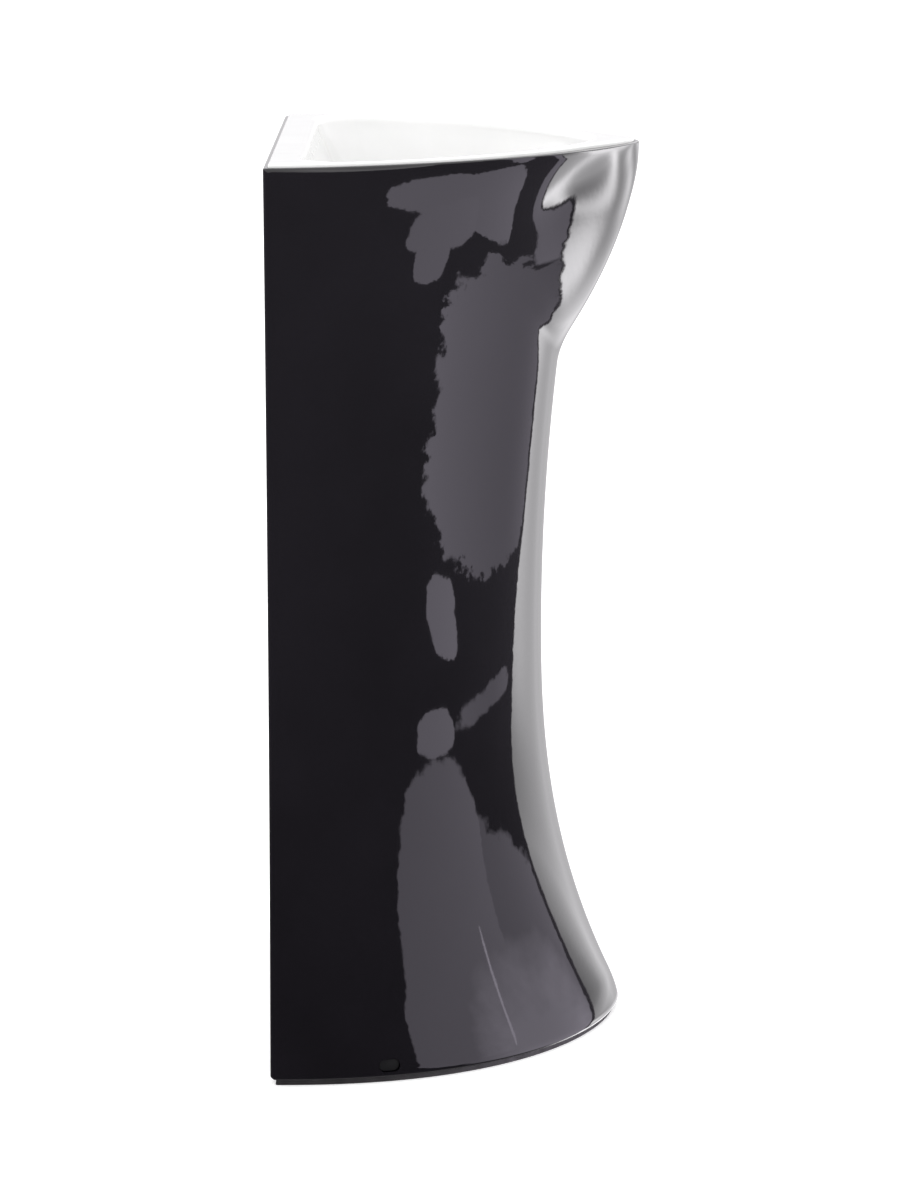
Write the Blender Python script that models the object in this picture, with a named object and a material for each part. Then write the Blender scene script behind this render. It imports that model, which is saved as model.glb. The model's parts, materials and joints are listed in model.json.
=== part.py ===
"""Back-to-wall pedestal sink: a white basin set into a tall black glazed casing.

Metres, +Z up. The wall side faces +Y and the pointed front faces -Y. The origin is on the floor,
under the middle of the bounding box. The casing is one hollow piece, open underneath and at the back,
and it hides the waste, the bottle trap and the two floor brackets.
"""

import math

import bmesh
import bpy
from mathutils import Matrix, Vector

MM = 0.001

# Overall size
HEIGHT = 850 * MM
DEPTH = 345 * MM
RIM_HALF = 265 * MM
WAIST_HALF = 244 * MM
FOOT_HALF = 272 * MM
BACK_Y = DEPTH / 2

# Side profile of the casing: how far its front stands off the wall plane
WAIST_Z = 385 * MM
WAIST_DEPTH = 254.4 * MM
FOOT_DEPTH = 331 * MM
FOOT_SWEEP = 85 * MM
FOOT_POWER = 2.45
TOE_BLEND = 12 * MM
SHOULDER_SWEEP = 49 * MM
SIDE_WAIST_Z = 420 * MM

# Plan shape of the trunk, |x/half|^p and (1 - ...)^q, at the foot and at the rim
FOOT_P, FOOT_Q = 1.75, 0.44
SHOULDER_P, SHOULDER_Q = 1.85, 0.61
RIM_P, RIM_Q = 1.587, 0.658

# Prow: a keel under the rim's tip that leans back until it dies out on the trunk, and the rim's flare
PROW_DROP = 48 * MM
PROW_REACH = 155 * MM
PROW_POWER = 1.8
PROW_Z = 700 * MM
PROW_SLOPE = 0.75
PROW_STEEPER = 2.4
PROW_NOSE = 26 * MM
PROW_BLEND = 10 * MM
FLARE_Z = 780 * MM
FLARE_POWER = 2.4

# Walls and edges
WALL = 12 * MM
LIP = 4 * MM
EDGE = 1.6 * MM
CORNER = 6 * MM
GAP = 0.3 * MM
SEAL_HEIGHT = 5 * MM
SEAL_INSET = 6 * MM
SEAL_WIDTH = 8 * MM
SOLE_Z = SEAL_HEIGHT + GAP
RIM_RISE = 3 * MM
CASING_TOP = HEIGHT - RIM_RISE
REBATE_Z = CASING_TOP - 10 * MM
SEALANT = 1.2 * MM
RIM_UNDER = REBATE_Z + SEALANT + 2 * GAP

# Service opening in the back wall
OPENING_HALF = 120 * MM
OPENING_LOW, OPENING_HIGH = 110 * MM, 630 * MM
OPENING_CORNER = 40 * MM

# Bowl
BOWL_HALF = 234 * MM
BOWL_FRONT = 306 * MM
BOWL_BACK = 28 * MM
BOWL_CORNER = 38 * MM
BOWL_EDGE = 8 * MM
BOWL_WALL_LOW = 757 * MM
BOWL_WALL_LEAN = 34 * MM
BOWL_FILLET = 30 * MM
BOWL_SKIN = 9 * MM
SEAT_Z = 725 * MM
SEAT_RADIUS = 36 * MM
DRAIN_RADIUS = 23 * MM
DRAIN_DEPTH = 160 * MM
DRAIN_Y = BACK_Y - DRAIN_DEPTH

# Waste and plug
THREAD = 20.9 * MM
RUNNING = 0.4 * MM
FLANGE_Z = SEAT_Z + 1.8 * MM
WASTE_END = SEAT_Z - 72 * MM
CARTRIDGE = 7 * MM
STEM = 4 * MM
STEM_FIT = 0.1 * MM

# Bottle trap and outlet
PIPE = 16 * MM
PIPE_BORE = 14.8 * MM
BOTTLE = 31 * MM
BOTTLE_LOW, BOTTLE_TOP = 508 * MM, 588 * MM
CUP_LOW = 448 * MM
TUBE_END = 480 * MM
OUTLET_Z = 552 * MM
STUB_END = 53 * MM

# Side fixings, close to the floor
FIXING_DEPTH = 110 * MM
FIXING_Z = 16 * MM
FIXING_TURN = math.radians(15.4)
SLOT_LONG, SLOT_HIGH, SLOT_DEEP = 20 * MM, 12 * MM, 7 * MM
BRACKET = 18 * MM

# How finely the curved pieces are divided
FRONT_STEPS = 15
CORNER_STEPS = 3
BACK_STEPS = 3
ROUND = 24


# ---------------------------------------------------------------- shape of the casing


def mix(a, b, t):
    return a + (b - a) * t


def smooth_max(a, b, reach):
    """The larger of a and b, with the corner between them rounded over reach."""
    near = max(reach - abs(a - b), 0.0) / reach
    return max(a, b) + near * near * reach / 4


def half_width(z):
    """Half the casing's width at height z: widest at the foot, narrow at the waist."""
    if z < SIDE_WAIST_Z:
        rise = (SIDE_WAIST_Z - z) / SIDE_WAIST_Z
        return WAIST_HALF + (FOOT_HALF - WAIST_HALF) * rise**2
    rise = (z - SIDE_WAIST_Z) / (HEIGHT - SIDE_WAIST_Z)
    return WAIST_HALF + (RIM_HALF - WAIST_HALF) * rise**2


def trunk_depth(z):
    """How far the trunk's front stands off the wall plane, without the prow."""
    if z < WAIST_Z:
        flare = WAIST_DEPTH + FOOT_SWEEP * ((WAIST_Z - z) / WAIST_Z) ** FOOT_POWER
        return -smooth_max(-flare, -FOOT_DEPTH - TOE_BLEND / 4, TOE_BLEND)
    return WAIST_DEPTH + SHOULDER_SWEEP * ((z - WAIST_Z) / (HEIGHT - WAIST_Z)) ** 2


def rim_shape(share):
    """The rim's plan: depth as a share of the depth at the tip, where x is that share of the half-width."""
    return max(1 - share**RIM_P, 0.0) ** RIM_Q


def skin_depth(share, z):
    """Depth of the casing's skin where x is that share of the half-width."""
    up = z / HEIGHT
    p, q = mix(FOOT_P, SHOULDER_P, up), mix(FOOT_Q, SHOULDER_Q, up)
    trunk = trunk_depth(z) * max(1 - share**p, 0.0) ** q
    arch = DEPTH * rim_shape(share)
    drop = PROW_DROP * ((HEIGHT - z) / PROW_REACH) ** PROW_POWER
    slope = PROW_SLOPE + PROW_STEEPER * (z - PROW_Z)
    keel = DEPTH + PROW_NOSE - math.hypot(slope * share * half_width(z), PROW_NOSE)
    prow = min(keel, arch) - drop
    body = smooth_max(trunk, prow, max(PROW_BLEND * (1 - share), 0.1 * MM))
    flare = max(z - FLARE_Z, 0.0) / (HEIGHT - FLARE_Z)
    return mix(body, arch, flare**FLARE_POWER)


def plan_ring(half, front, back, corner, shape, z):
    """A closed plan outline at height z, from the front tip round by +X to the back and home by -X."""
    side = []
    for i in range(FRONT_STEPS + 1):
        share = math.sin(math.pi / 2 * i / FRONT_STEPS) ** 1.2
        side.append((half * share, back + corner + (front - back - corner) * shape(share)))
    for i in range(1, CORNER_STEPS + 1):
        turn = math.pi / 2 * i / CORNER_STEPS
        side.append((half - corner * (1 - math.cos(turn)), back + corner * (1 - math.sin(turn))))
    for i in range(1, BACK_STEPS + 1):
        side.append(((half - corner) * (1 - i / BACK_STEPS), back))
    mirrored = [(-x, depth) for x, depth in side[-2:0:-1]]
    return [Vector((x, BACK_Y - depth, z)) for x, depth in side + mirrored]


def casing_ring(z, inset=0.0, at=None):
    """The casing's plan at height z, drawn in by inset. It is drawn at height at, if that is given."""
    front = skin_depth(0, z)
    return plan_ring(
        half_width(z) - inset,
        front - inset,
        inset,
        max(CORNER - inset, 2 * MM),
        lambda share: skin_depth(share, z) / front,
        z if at is None else at,
    )


def lip_ring(inset, z):
    """A plan that stays inset from the skin over the whole height of the rebate."""
    front = skin_depth(0, REBATE_Z)
    return plan_ring(
        half_width(REBATE_Z) - inset,
        front - inset,
        inset,
        2 * MM,
        lambda share: min(skin_depth(share, CASING_TOP), skin_depth(share, REBATE_Z)) / front,
        z,
    )


def bowl_ring(inset, z):
    """The bowl's plan, drawn in by inset from its mouth."""
    return plan_ring(
        BOWL_HALF - inset,
        BOWL_FRONT - inset,
        BOWL_BACK + inset,
        max(BOWL_CORNER - inset / 3, 10 * MM),
        rim_shape,
        z,
    )


def drain_ring(outline, radius, z):
    """A circle round the drain with one point towards each point of outline."""
    centre = Vector((0, DRAIN_Y, 0))
    ring = []
    for point in outline:
        away = Vector((point.x, point.y, 0)) - centre
        ring.append(centre + away.normalized() * radius + Vector((0, 0, z)))
    return ring


def mixed_ring(a, b, t, z):
    return [Vector((*p.lerp(q, t).xy, z)) for p, q in zip(a, b)]


def levels(low, high, steps):
    return [mix(low, high, i / steps) for i in range(steps)]


# ---------------------------------------------------------------- Blender helpers


def clear_scene():
    for obj in list(bpy.data.objects):
        bpy.data.objects.remove(obj)


def material(name, colour, roughness, metallic=0.0):
    made = bpy.data.materials.new(name)
    made.use_nodes = True
    shader = made.node_tree.nodes["Principled BSDF"]
    shader.inputs["Base Color"].default_value = (*colour, 1)
    shader.inputs["Roughness"].default_value = roughness
    shader.inputs["Metallic"].default_value = metallic
    return made


def to_object(bm, name, finish, parent=None):
    """Closes off a bmesh as a named object with outward faces and smooth round surfaces."""
    bmesh.ops.recalc_face_normals(bm, faces=bm.faces)
    if bm.calc_volume(signed=True) < 0:
        bmesh.ops.reverse_faces(bm, faces=bm.faces)
    mesh = bpy.data.meshes.new(name)
    bm.to_mesh(mesh)
    bm.free()
    mesh.shade_smooth()
    mesh.set_sharp_from_angle(angle=math.radians(35))
    mesh.materials.append(finish)
    obj = bpy.data.objects.new(name, mesh)
    obj.parent = parent
    bpy.context.scene.collection.objects.link(obj)
    return obj


def cutter(bm, name, parent=None):
    """A helper that only cuts another object."""
    obj = to_object(bm, name, bpy.data.materials.new(name))
    obj.parent = parent
    obj.hide_render = True
    obj.display_type = "WIRE"
    return obj


def combine(obj, other, operation="DIFFERENCE"):
    modifier = obj.modifiers.new(other.name, "BOOLEAN")
    modifier.object = other
    modifier.operation = operation
    modifier.solver = "EXACT"


def loft(rings):
    """A closed skin through rings of equal length, the last ring joined to the first."""
    bm = bmesh.new()
    loops = [[bm.verts.new(point) for point in ring] for ring in rings]
    count = len(rings[0])
    for low, high in zip(loops, loops[1:] + loops[:1]):
        for i in range(count):
            j = (i + 1) % count
            bm.faces.new((low[i], low[j], high[j], high[i]))
    return bm


def turned(profile, steps=ROUND, matrix=None):
    """A solid of revolution round Z through the drain from (radius, z) points, or through matrix's origin."""
    bm = bmesh.new()
    verts = [bm.verts.new((radius, 0, z)) for radius, z in profile]
    edges = [bm.edges.new((a, b)) for a, b in zip(verts, verts[1:])]
    if profile[0][0] > 0:
        edges.append(bm.edges.new((verts[-1], verts[0])))
    bmesh.ops.spin(
        bm,
        geom=verts + edges,
        axis=(0, 0, 1),
        cent=(0, 0, 0),
        angle=2 * math.pi,
        steps=steps,
        use_merge=True,
    )
    bmesh.ops.remove_doubles(bm, verts=bm.verts, dist=0.01 * MM)
    bm.transform(Matrix.Translation((0, DRAIN_Y, 0)) if matrix is None else matrix)
    return bm


def sleeve(inner, outer, low, high):
    """The profile of a plain ring."""
    return [(inner, low), (outer, low), (outer, high), (inner, high)]


def prism(outline, low, high, matrix=None):
    """A plan outline pulled up from low to high."""
    bm = bmesh.new()
    base = bm.faces.new([bm.verts.new((x, y, low)) for x, y in outline])
    pulled = bmesh.ops.extrude_face_region(bm, geom=[base])["geom"]
    bmesh.ops.translate(
        bm, verts=[v for v in pulled if isinstance(v, bmesh.types.BMVert)], vec=(0, 0, high - low)
    )
    if matrix is not None:
        bm.transform(matrix)
    return bm


def polygon(radius, sides, turn=0.0):
    angles = [turn + 2 * math.pi * i / sides for i in range(sides)]
    return [(radius * math.cos(a), radius * math.sin(a)) for a in angles]


def rounded_box(width, height, corner, steps=5):
    """A rectangle with round corners, centred on the origin."""
    outline = []
    for i, (sx, sy) in enumerate([(1, 1), (-1, 1), (-1, -1), (1, -1)]):
        cx, cy = sx * (width / 2 - corner), sy * (height / 2 - corner)
        for k in range(steps + 1):
            angle = math.pi / 2 * (i + k / steps)
            outline.append((cx + corner * math.cos(angle), cy + corner * math.sin(angle)))
    return outline


# ---------------------------------------------------------------- casing and basin


def casing_heights():
    toe = levels(SOLE_Z + 3 * MM, 70 * MM, 5)
    trunk = levels(70 * MM, 630 * MM, 9)
    prow = levels(630 * MM, CASING_TOP - EDGE, 11)
    return [*toe, *trunk, *prow, CASING_TOP - EDGE]


def add_casing(finish):
    heights = casing_heights()
    rings = [casing_ring(SOLE_Z, 3 * MM)]
    rings += [casing_ring(z) for z in heights]
    rings.append(casing_ring(CASING_TOP, 0.3 * EDGE, CASING_TOP - 0.3 * EDGE))
    rings.append(casing_ring(CASING_TOP, EDGE))
    rings += [lip_ring(LIP, CASING_TOP), lip_ring(LIP, REBATE_Z), lip_ring(WALL, REBATE_Z)]
    rings += [casing_ring(z, WALL) for z in reversed(heights[1:-1])]
    rings.append(casing_ring(SOLE_Z, WALL))
    casing = to_object(loft(rings), "pedestal_casing", finish)

    middle = (OPENING_LOW + OPENING_HIGH) / 2
    outline = rounded_box(2 * OPENING_HALF, OPENING_HIGH - OPENING_LOW, OPENING_CORNER)
    place = Matrix.Translation((0, BACK_Y, middle)) @ Matrix.Rotation(math.pi / 2, 4, "X")
    combine(casing, cutter(prism(outline, -2 * WALL, 1.6 * WALL, place), "service_opening_cutter"))
    return casing


def add_floor_seal(finish):
    inner = SEAL_INSET + SEAL_WIDTH
    rings = [
        casing_ring(SOLE_Z, SEAL_INSET, 0),
        casing_ring(SOLE_Z, SEAL_INSET, SEAL_HEIGHT),
        casing_ring(SOLE_Z, inner, SEAL_HEIGHT),
        casing_ring(SOLE_Z, inner, 0),
    ]
    to_object(loft(rings), "floor_seal", finish)


def add_rim_sealant(finish):
    low, high = REBATE_Z + GAP, REBATE_Z + GAP + SEALANT
    inner, outer = WALL - 1 * MM, LIP + 1 * MM
    rings = [
        lip_ring(outer, low),
        lip_ring(outer, high),
        lip_ring(inner, high),
        lip_ring(inner, low),
    ]
    to_object(loft(rings), "rim_sealant", finish)


def bowl_surface(skin):
    """Rings down the bowl's wall and over its floor to the seat. A skin above 0 gives the underside."""
    fillet = BOWL_FILLET + skin
    foot = BOWL_EDGE + BOWL_WALL_LEAN
    rings = [
        bowl_ring(mix(BOWL_EDGE, foot, i / 3) - skin, mix(HEIGHT - BOWL_EDGE, BOWL_WALL_LOW, i / 3))
        for i in range(0 if skin == 0 else 1, 4)
    ]
    for i in range(1, 5):
        turn = math.pi / 2 * i / 5
        inset = foot - skin + fillet * (1 - math.cos(turn))
        rings.append(bowl_ring(inset, BOWL_WALL_LOW - fillet * math.sin(turn) * 0.94))
    edge = rings[-1]
    seat = drain_ring(edge, SEAT_RADIUS + skin / 2, SEAT_Z - skin)
    for i in range(1, 4):
        sink = mix(edge[0].z, SEAT_Z - skin, 1 - (1 - i / 4) ** 2)
        rings.append(mixed_ring(edge, seat, i / 4, sink))
    return [*rings, seat]


def add_basin(finish):
    outer = LIP + GAP
    rings = [
        lip_ring(outer, RIM_UNDER),
        lip_ring(outer, HEIGHT - EDGE),
        lip_ring(outer + 0.3 * EDGE, HEIGHT - 0.3 * EDGE),
        lip_ring(outer + EDGE, HEIGHT),
        bowl_ring(0, HEIGHT),
    ]
    for i in range(1, 3):
        turn = math.pi / 2 * i / 3
        rings.append(
            bowl_ring(BOWL_EDGE * math.sin(turn), HEIGHT - BOWL_EDGE * (1 - math.cos(turn)))
        )
    rings += bowl_surface(0)
    rings.append(drain_ring(rings[-1], DRAIN_RADIUS, SEAT_Z))
    rings.append(drain_ring(rings[-1], DRAIN_RADIUS, SEAT_Z - BOWL_SKIN))
    rings += reversed(bowl_surface(BOWL_SKIN))
    rings.append(bowl_ring(BOWL_EDGE - BOWL_SKIN, RIM_UNDER))
    to_object(loft(rings), "basin", finish)


# ---------------------------------------------------------------- waste and plug


def on_drain_axis():
    return Matrix.Translation((0, DRAIN_Y, 0))


def bore_through(obj, radius, low, high, matrix, name):
    """Cuts a round hole along the matrix's Z axis from low to high."""
    combine(obj, cutter(turned([(0, low), (radius, low), (radius, high), (0, high)], 24, matrix), name))


def add_hex_nut(name, finish, across, bore, low, high):
    """A plain hexagon nut round the drain's axis."""
    nut = to_object(prism(polygon(across, 6, math.pi / 6), low, high, on_drain_axis()), name, finish)
    bore_through(nut, bore, low - 1 * MM, high + 1 * MM, on_drain_axis(), name + "_cutter")


def add_waste(chrome, rubber):
    tube = THREAD - 2.4 * MM
    flange = [
        (tube, WASTE_END),
        (THREAD, WASTE_END),
        (THREAD, FLANGE_Z),
        (32 * MM, FLANGE_Z),
        (32 * MM, FLANGE_Z + 1.2 * MM),
        (30.5 * MM, FLANGE_Z + 2.5 * MM),
        (26 * MM, FLANGE_Z + 2.5 * MM),
        (19.5 * MM, FLANGE_Z + 0.8 * MM),
        (tube, FLANGE_Z - 1 * MM),
    ]
    to_object(turned(flange), "waste_body", chrome)
    washer = sleeve(DRAIN_RADIUS + 1 * MM, 31 * MM, SEAT_Z + GAP, FLANGE_Z - GAP)
    to_object(turned(washer), "waste_top_washer", rubber)

    under = SEAT_Z - BOWL_SKIN - GAP
    bore = THREAD + RUNNING
    cone = [
        (bore, under - 6 * MM),
        (31 * MM, under - 6 * MM),
        (31 * MM, under - 2 * MM),
        (27 * MM, under),
        (bore, under),
    ]
    to_object(turned(cone), "waste_cone_washer", rubber)
    nut_top = under - 6 * MM - GAP
    add_hex_nut("waste_backnut", chrome, 30 * MM, bore, nut_top - 9 * MM, nut_top)


def add_crosspiece(chrome):
    """The three-legged bridge inside the waste that carries the plug's cartridge."""
    outline = []
    reach = THREAD - 2.4 * MM - GAP
    for i in range(3):
        angle = 2 * math.pi * i / 3
        spread = math.asin(1.5 * MM / reach)
        outline.append((reach * math.cos(angle - spread), reach * math.sin(angle - spread)))
        outline.append((reach * math.cos(angle + spread), reach * math.sin(angle + spread)))
        for k in range(5):
            turn = angle + math.radians(15 + 22.5 * k)
            outline.append((12 * MM * math.cos(turn), 12 * MM * math.sin(turn)))
    low, high = SEAT_Z - 24 * MM, SEAT_Z - 17 * MM
    bridge = to_object(prism(outline, low, high, on_drain_axis()), "waste_crosspiece", chrome)
    bore = CARTRIDGE + GAP
    bore_through(bridge, bore, low - 1 * MM, high + 1 * MM, on_drain_axis(), "crosspiece_cutter")


def add_cartridge(plastic):
    low, shoulder, high = SEAT_Z - 58 * MM, SEAT_Z - 17 * MM + GAP, SEAT_Z - 10 * MM
    profile = [
        (STEM + STEM_FIT, low),
        (CARTRIDGE, low),
        (CARTRIDGE, shoulder),
        (CARTRIDGE + 2 * MM, shoulder),
        (CARTRIDGE + 2 * MM, high),
        (STEM + STEM_FIT, high),
    ]
    to_object(turned(profile), "plug_cartridge", plastic)


def add_plug(chrome, rubber):
    """The push plug: pressed once it stays down on its seal, pressed again it stands open."""
    low = FLANGE_Z + 3.5 * MM
    pivot = bpy.data.objects.new("plug_pivot", None)
    pivot.location = (0, DRAIN_Y, low)
    bpy.context.scene.collection.objects.link(pivot)
    cap = [
        (0, -42 * MM),
        (STEM, -42 * MM),
        (STEM, -3.4 * MM),
        (11 * MM, -3.4 * MM),
        (11 * MM, 0),
        (29 * MM, 0),
        (30 * MM, 1 * MM),
        (28.5 * MM, 2.6 * MM),
        (20 * MM, 4.0 * MM),
        (10 * MM, 4.8 * MM),
        (0, 5.0 * MM),
    ]
    to_object(turned(cap, matrix=Matrix.Identity(4)), "plug_cap", chrome, pivot)
    seal = [
        (11 * MM + GAP, -1.9 * MM),
        (21 * MM, -1.9 * MM),
        (24.5 * MM, -1.1 * MM),
        (24.5 * MM, -GAP),
        (11 * MM + GAP, -GAP),
    ]
    to_object(turned(seal, matrix=Matrix.Identity(4)), "plug_seal", rubber, pivot)


# ---------------------------------------------------------------- bottle trap and outlet


def nut_profile(thread, pipe, low, web, high):
    """A collar nut: open at one end over a thread, closed in to a pipe at the other."""
    outer = thread + 6 * MM
    return [
        (pipe, low),
        (outer - 2 * MM, low),
        (outer, low + math.copysign(2 * MM, high - low)),
        (outer, high),
        (thread, high),
        (thread, web),
        (pipe, web),
    ]


def add_dip_tube(chrome, rubber):
    top = WASTE_END - GAP
    collar = top - 2 * MM - GAP
    to_object(turned(sleeve(PIPE_BORE, 20 * MM, collar + GAP, top)), "trap_inlet_washer", rubber)
    profile = [
        (PIPE_BORE, TUBE_END),
        (PIPE, TUBE_END),
        (PIPE, collar - 2 * MM),
        (20 * MM, collar - 2 * MM),
        (20 * MM, collar),
        (PIPE_BORE, collar),
    ]
    to_object(turned(profile), "dip_tube", chrome)
    web = collar - 2 * MM - GAP
    inlet = nut_profile(THREAD + GAP, PIPE + GAP, web - 3 * MM, web, WASTE_END + 15 * MM)
    to_object(turned(inlet), "trap_inlet_nut", chrome)


def outlet_frame():
    """Local Z runs from the trap's axis straight back to the wall."""
    return Matrix.Translation((0, DRAIN_Y, OUTLET_Z)) @ Matrix.Rotation(-math.pi / 2, 4, "X")


def add_trap(chrome, rubber):
    inner, outer = BOTTLE - 2.5 * MM, BOTTLE
    neck = BOTTLE_TOP + 15 * MM
    profile = [
        (inner, BOTTLE_LOW),
        (outer, BOTTLE_LOW),
        (outer, BOTTLE_TOP - 6 * MM),
        (22 * MM, BOTTLE_TOP),
        (22 * MM, neck),
        (PIPE + GAP, neck),
        (PIPE + GAP, BOTTLE_TOP - 3 * MM),
        (inner, BOTTLE_TOP - 8 * MM),
    ]
    bottle = to_object(turned(profile), "trap_body", chrome)
    stub = turned([(0, 22 * MM), (20 * MM, 22 * MM), (20 * MM, STUB_END), (0, STUB_END)], 32, outlet_frame())
    combine(bottle, cutter(stub, "outlet_stub"), "UNION")
    bore_through(bottle, PIPE + GAP, 20 * MM, STUB_END + 1 * MM, outlet_frame(), "outlet_bore_cutter")

    washer = sleeve(PIPE + GAP, 22 * MM, neck + GAP, neck + 3 * MM)
    to_object(turned(washer), "trap_neck_washer", rubber)
    web = neck + 3 * MM + GAP
    collar = nut_profile(22 * MM + GAP, PIPE + GAP, web + 3 * MM, web, BOTTLE_TOP + 3 * MM)
    to_object(turned(collar), "trap_neck_nut", chrome)

    seat = BOTTLE_LOW - 3.6 * MM
    seal = sleeve(inner, outer, seat + GAP, BOTTLE_LOW - GAP)
    to_object(turned(seal), "trap_cup_seal", rubber)
    grip = outer + 3.5 * MM
    cup = [
        (0, CUP_LOW),
        (24 * MM, CUP_LOW),
        (29 * MM, CUP_LOW + 2 * MM),
        (outer, CUP_LOW + 7 * MM),
        (outer, seat - 9 * MM),
        (grip, seat - 6 * MM),
        (grip, BOTTLE_LOW + 12 * MM),
        (outer + GAP, BOTTLE_LOW + 12 * MM),
        (outer + GAP, seat),
        (inner, seat),
        (inner, CUP_LOW + 8 * MM),
        (24 * MM, CUP_LOW + 3 * MM),
        (0, CUP_LOW + 3 * MM),
    ]
    to_object(turned(cup), "trap_cup", chrome)


def add_outlet(chrome, rubber, plastic):
    """The pipe from the trap back to the wall, with its nut, ring and cover plate."""
    start = STUB_END - 14 * MM
    arm = turned(sleeve(PIPE_BORE, PIPE, start, DRAIN_DEPTH), ROUND, outlet_frame())
    to_object(arm, "waste_arm", chrome)
    washer = turned(sleeve(PIPE + GAP, 20 * MM, STUB_END + GAP, STUB_END + 3 * MM), ROUND, outlet_frame())
    to_object(washer, "outlet_washer", rubber)
    web = STUB_END + 3 * MM + GAP
    collar = nut_profile(20 * MM + GAP, PIPE + GAP, web + 3 * MM, web, STUB_END - 12 * MM)
    to_object(turned(collar, ROUND, outlet_frame()), "outlet_nut", chrome)
    cover = [
        (PIPE + GAP, DRAIN_DEPTH - 12 * MM),
        (PIPE + 2 * MM, DRAIN_DEPTH - 12 * MM),
        (PIPE + 4 * MM, DRAIN_DEPTH - 6 * MM),
        (36 * MM, DRAIN_DEPTH - 1.5 * MM),
        (36 * MM, DRAIN_DEPTH),
        (PIPE + GAP, DRAIN_DEPTH),
    ]
    to_object(turned(cover, ROUND, outlet_frame()), "wall_cover_plate", plastic)


# ---------------------------------------------------------------- floor fixings


def side_frame(side):
    """Local Z points straight out of the casing's side, local X runs along its skin."""
    low, high = 0.0, 1.0
    for _ in range(40):
        share = (low + high) / 2
        if skin_depth(share, FIXING_Z) > FIXING_DEPTH:
            low = share
        else:
            high = share
    spot = Vector((side * share * half_width(FIXING_Z), BACK_Y - FIXING_DEPTH, FIXING_Z))
    out = Vector((side * math.cos(FIXING_TURN), -math.sin(FIXING_TURN), 0))
    along = Vector((0, 0, 1)).cross(out)
    turn = Matrix((along, Vector((0, 0, 1)), out)).transposed()
    return Matrix.Translation(spot) @ turn.to_4x4()


def add_side_fixing(casing, side, label, steel, plastic, nylon):
    frame = side_frame(side)
    slot = prism(rounded_box(SLOT_LONG, SLOT_HIGH, SLOT_HIGH / 2 - 0.2 * MM), -SLOT_DEEP, 8 * MM, frame)
    combine(casing, cutter(slot, "side_slot_" + label + "_cutter"))
    bore_through(casing, 3.6 * MM, -30 * MM, 0, frame, "side_hole_" + label + "_cutter")

    cap = rounded_box(SLOT_LONG - 1.2 * MM, SLOT_HIGH - 1.2 * MM, SLOT_HIGH / 2 - 0.9 * MM)
    to_object(prism(cap, -3.6 * MM, -1.2 * MM, frame), "side_cap_" + label, plastic)
    screw = [
        (0, -38 * MM),
        (2.4 * MM, -36 * MM),
        (2.4 * MM, -SLOT_DEEP + GAP),
        (4.8 * MM, -SLOT_DEEP + GAP),
        (4.8 * MM, -5 * MM),
        (3.6 * MM, -4 * MM),
        (0, -4 * MM),
    ]
    to_object(turned(screw, 20, frame), "side_screw_" + label, steel)

    leg = prism(rounded_box(40 * MM, 34 * MM, 4 * MM), -BRACKET - 3 * MM, -BRACKET, frame)
    leg.transform(Matrix.Translation((0, 0, 17 * MM - FIXING_Z)))
    bracket = to_object(leg, "floor_bracket_" + label, steel)
    sole_frame = frame @ Matrix.Translation((0, -FIXING_Z, 0)) @ Matrix.Rotation(-math.pi / 2, 4, "X")
    reach = BRACKET + 50 * MM
    sole = [(-20 * MM, BRACKET + 1 * MM), (20 * MM, BRACKET + 1 * MM), (20 * MM, reach), (-20 * MM, reach)]
    combine(bracket, cutter(prism(sole, 0, 3 * MM, sole_frame), "bracket_sole_" + label), "UNION")
    bore_through(bracket, 2.8 * MM, -30 * MM, -10 * MM, frame, "bracket_hole_" + label + "_cutter")
    for i, x in ((1, -10 * MM), (2, 10 * MM)):
        place = sole_frame @ Matrix.Translation((x, reach - 16 * MM, 0))
        bore_through(bracket, 3.4 * MM, -1 * MM, 5 * MM, place, f"floor_hole_{label}_{i}_cutter")
        floor_screw = [
            (0, 0.4 * MM),
            (2.9 * MM, 0.4 * MM),
            (2.9 * MM, 3 * MM + GAP),
            (6 * MM, 3 * MM + GAP),
            (6 * MM, 5 * MM),
            (4 * MM, 6.5 * MM),
            (0, 6.5 * MM),
        ]
        to_object(turned(floor_screw, 16, place), f"floor_screw_{label}_{i}", steel)
    nut = prism(polygon(6 * MM, 6), -BRACKET - 7 * MM, -BRACKET - 3 * MM - GAP, frame)
    nut = to_object(nut, "bracket_nut_" + label, nylon)
    bore_through(nut, 2.7 * MM, -30 * MM, -10 * MM, frame, "nut_hole_" + label + "_cutter")


# ---------------------------------------------------------------- build


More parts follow.
